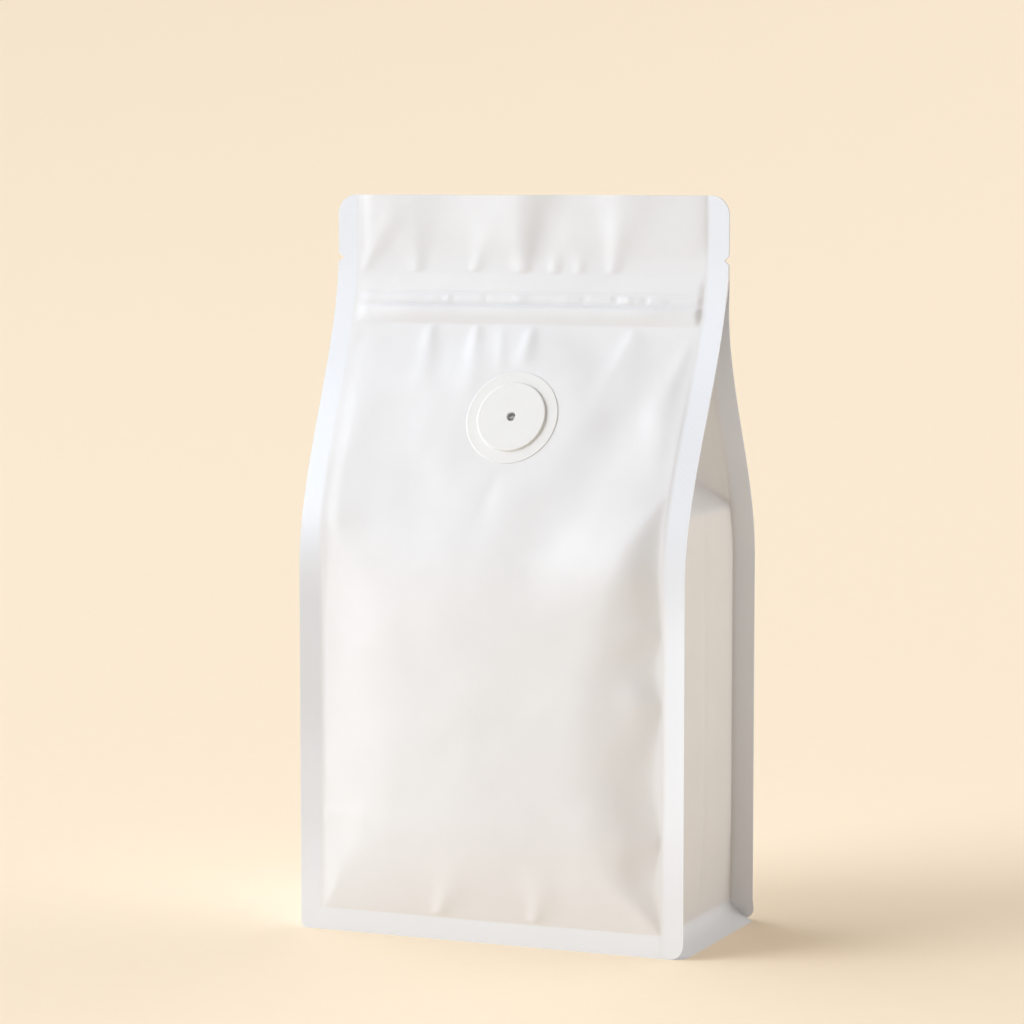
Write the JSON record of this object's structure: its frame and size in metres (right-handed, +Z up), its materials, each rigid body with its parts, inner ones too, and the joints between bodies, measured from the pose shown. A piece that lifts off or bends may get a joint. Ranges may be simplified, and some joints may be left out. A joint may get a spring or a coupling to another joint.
{
  "type": "degassing valve pouch",
  "caption": "Tall plain white flat-bottom pouch with side gussets, welded fins, press-to-close zip relief and a round one-way degassing valve, filled and shut.",
  "frame": {"origin": "on the table under the middle of the pouch", "axes": "+Z up, the front sheet with the valve faces -Y, +X to the right as the front is seen"},
  "size_m": [0.13, 0.075, 0.227],
  "materials": {
    "film": "matte white laminated film, heat welded",
    "valve_plastic": "satin white moulded plastic"
  },
  "bodies": {
    "root": {"pouch": "film", "valve": "valve_plastic"}
  },
  "joints": []
}
